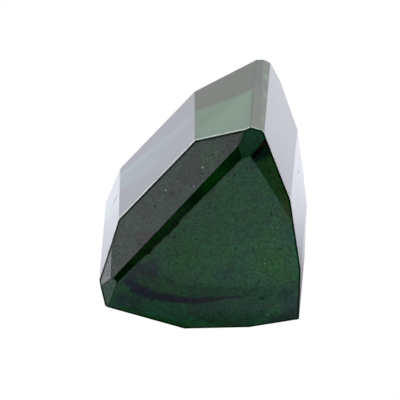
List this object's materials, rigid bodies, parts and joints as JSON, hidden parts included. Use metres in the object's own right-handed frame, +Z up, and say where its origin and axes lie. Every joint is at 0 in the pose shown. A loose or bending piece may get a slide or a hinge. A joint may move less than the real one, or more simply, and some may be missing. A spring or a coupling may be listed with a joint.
{
  "type": "faceted tourmaline",
  "caption": "Deep green tourmaline cut as a short three-sided block with a broad flat front, a wide shoulder facet and straight polished walls, resting on one wall.",
  "frame": {"origin": "centre of the bounding box's footprint, at the height of the wall the stone rests on", "axes": "+Z up, square to the resting wall; the broad front face looks toward -Y; +Y runs along the crystal's long axis to the back; +X is the right-hand side of the front face"},
  "size_m": [0.017, 0.018, 0.0173],
  "materials": {
    "tourmaline_green": "polished flat facets, clear but very deep green in the body, index of refraction 1.64"
  },
  "bodies": {
    "root": {"tourmaline": "tourmaline_green"}
  },
  "joints": []
}
